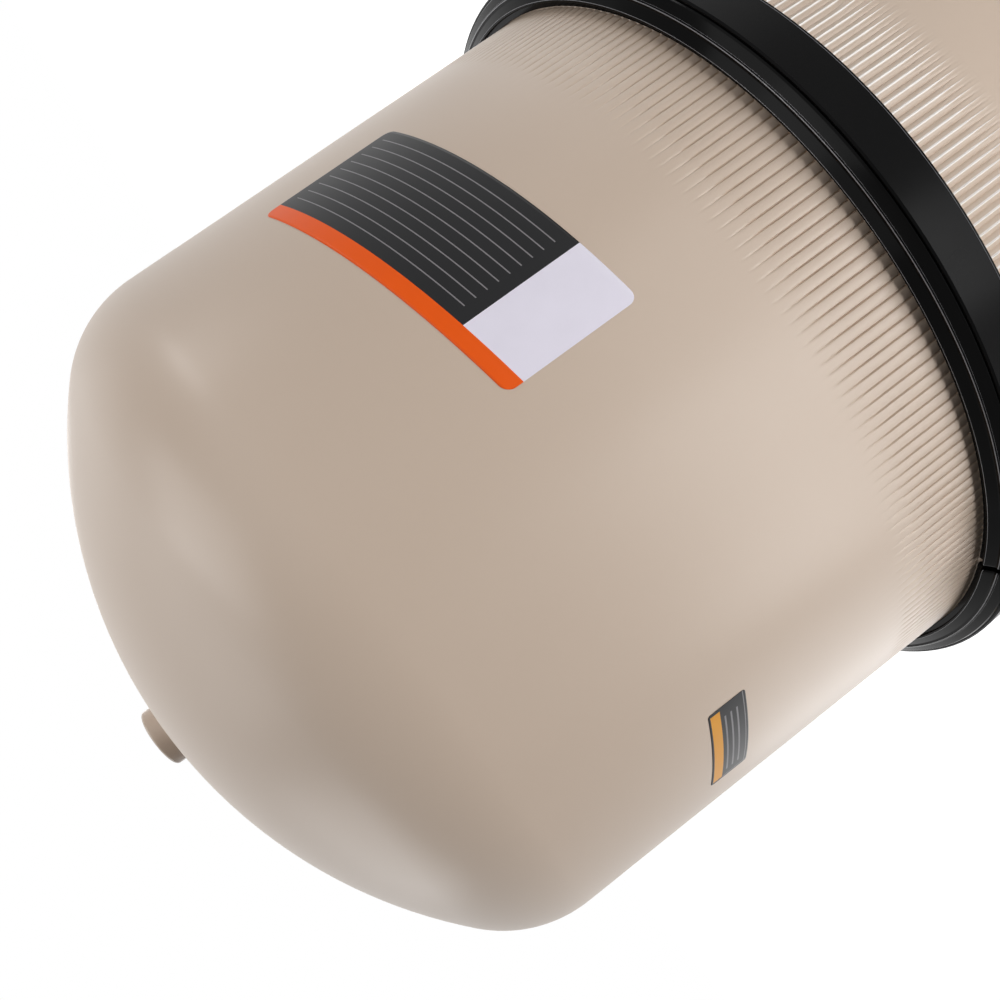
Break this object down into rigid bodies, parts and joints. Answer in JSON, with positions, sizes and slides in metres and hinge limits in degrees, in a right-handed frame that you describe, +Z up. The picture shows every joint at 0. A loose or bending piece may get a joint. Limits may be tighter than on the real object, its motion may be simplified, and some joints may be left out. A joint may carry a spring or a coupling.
{
  "type": "pool cartridge filter",
  "caption": "Upright two-piece moulded tank with a ribbed joint held by a band clamp, pleated cartridges inside and two unions low on the front.",
  "frame": {"origin": "centre of the bolt-down hole circle at the ground face, on the tank axis", "axes": "+Z up along the tank axis, -Y the way the two ports face"},
  "size_m": [0.527, 0.5796, 1.0258],
  "materials": {
    "almond_plastic": "satin moulded",
    "clamp_black_plastic": "gloss moulded",
    "clamp_black_steel": "gloss powder coat",
    "stainless": "turned",
    "spring_steel": "wire",
    "brass": "machined",
    "black_rubber": "moulded",
    "port_black_plastic": "moulded",
    "white_pvc": "moulded",
    "manifold_plastic": "moulded",
    "media_fabric": "spun polyester",
    "cap_plastic": "moulded",
    "core_plastic": "moulded"
  },
  "bodies": {
    "tank": {"tank_lid": "almond_plastic", "tank_base": "almond_plastic", "tank_o_ring": "black_rubber", "clamp_retainer_front": "clamp_black_plastic", "clamp_retainer_rear": "clamp_black_plastic", "clamp_strap_front": "clamp_black_steel", "clamp_strap_rear": "clamp_black_steel", "clamp_hinge_pin": "stainless", "trunnion_bracket": "clamp_black_steel", "bolt_saddle": "clamp_black_steel", "lower_manifold": "manifold_plastic", "upper_manifold": "manifold_plastic", "inlet_diffuser": "manifold_plastic", "air_bleed_tube": "core_plastic", "air_bleed_strainer": "core_plastic", "inlet_bulkhead": "port_black_plastic", "inlet_gasket": "black_rubber", "inlet_locknut": "port_black_plastic", "inlet_union_o_ring": "black_rubber", "outlet_bulkhead": "port_black_plastic", "outlet_gasket": "black_rubber", "outlet_locknut": "port_black_plastic", "outlet_union_o_ring": "black_rubber", "cartridge_1_media": "media_fabric", "cartridge_1_top_cap": "cap_plastic", "cartridge_1_bottom_cap": "cap_plastic", "cartridge_1_core": "core_plastic", "cartridge_2_media": "media_fabric", "cartridge_2_top_cap": "cap_plastic", "cartridge_2_bottom_cap": "cap_plastic", "cartridge_2_core": "core_plastic", "cartridge_3_media": "media_fabric", "cartridge_3_top_cap": "cap_plastic", "cartridge_3_bottom_cap": "cap_plastic", "cartridge_3_core": "core_plastic", "cartridge_4_media": "media_fabric", "cartridge_4_top_cap": "cap_plastic", "cartridge_4_bottom_cap": "cap_plastic", "cartridge_4_core": "core_plastic"},
    "t_bolt": {"t_bolt": "stainless", "saddle_washer": "stainless", "clamp_spring": "spring_steel"},
    "nut_washer": {"nut_washer": "stainless"},
    "clamp_nut": {"clamp_nut": "brass"},
    "inlet_tail": {"inlet_tailpiece": "white_pvc"},
    "inlet_union_nut": {"inlet_union_nut": "port_black_plastic"},
    "outlet_tail": {"outlet_tailpiece": "white_pvc"},
    "outlet_union_nut": {"outlet_union_nut": "port_black_plastic"},
    "drain_seal": {"drain_plug_seal": "black_rubber"},
    "drain_plug": {"drain_plug": "port_black_plastic"}
  },
  "joints": [
    {"name": "t_bolt_swing", "type": "hinge", "parent": "tank", "child": "t_bolt", "pos_m": [-0.26304, 0.06381, 0.5971], "axis": [0, 0, 1], "range_deg": [0, 100]},
    {"name": "clamp_nut_travel", "type": "slide", "parent": "t_bolt", "child": "nut_washer", "axis": [0.342, 0.9397, 0], "range_m": [0, 0.0254]},
    {"name": "clamp_nut_turn", "type": "hinge", "parent": "nut_washer", "child": "clamp_nut", "pos_m": [-0.23055, 0.15308, 0.5971], "axis": [0.342, 0.9397, 0], "range_deg": [0, 5760]},
    {"name": "inlet_union_travel", "type": "slide", "parent": "tank", "child": "inlet_tail", "axis": [0, -1, 0], "range_m": [0, 0.018]},
    {"name": "inlet_union_turn", "type": "hinge", "parent": "inlet_tail", "child": "inlet_union_nut", "pos_m": [0.085, -0.28, 0.13], "axis": [0, -1, 0], "range_deg": [0, 1440]},
    {"name": "outlet_union_travel", "type": "slide", "parent": "tank", "child": "outlet_tail", "axis": [0, -1, 0], "range_m": [0, 0.018]},
    {"name": "outlet_union_turn", "type": "hinge", "parent": "outlet_tail", "child": "outlet_union_nut", "pos_m": [-0.085, -0.28, 0.13], "axis": [0, -1, 0], "range_deg": [0, 1440]},
    {"name": "drain_plug_travel", "type": "slide", "parent": "tank", "child": "drain_seal", "axis": [0, -1, 0], "range_m": [0, 0.018]},
    {"name": "drain_plug_turn", "type": "hinge", "parent": "drain_seal", "child": "drain_plug", "pos_m": [0, -0.25, 0.106], "axis": [0, -1, 0], "range_deg": [0, 2806.29]}
  ],
  "couplings": [
    {"joint": "clamp_nut_travel", "follows": "clamp_nut_turn", "m_per_rad": 0.00025266},
    {"joint": "inlet_union_travel", "follows": "inlet_union_turn", "m_per_rad": 0.0007162},
    {"joint": "outlet_union_travel", "follows": "outlet_union_turn", "m_per_rad": 0.0007162},
    {"joint": "drain_plug_travel", "follows": "drain_plug_turn", "m_per_rad": 0.0003675}
  ]
}
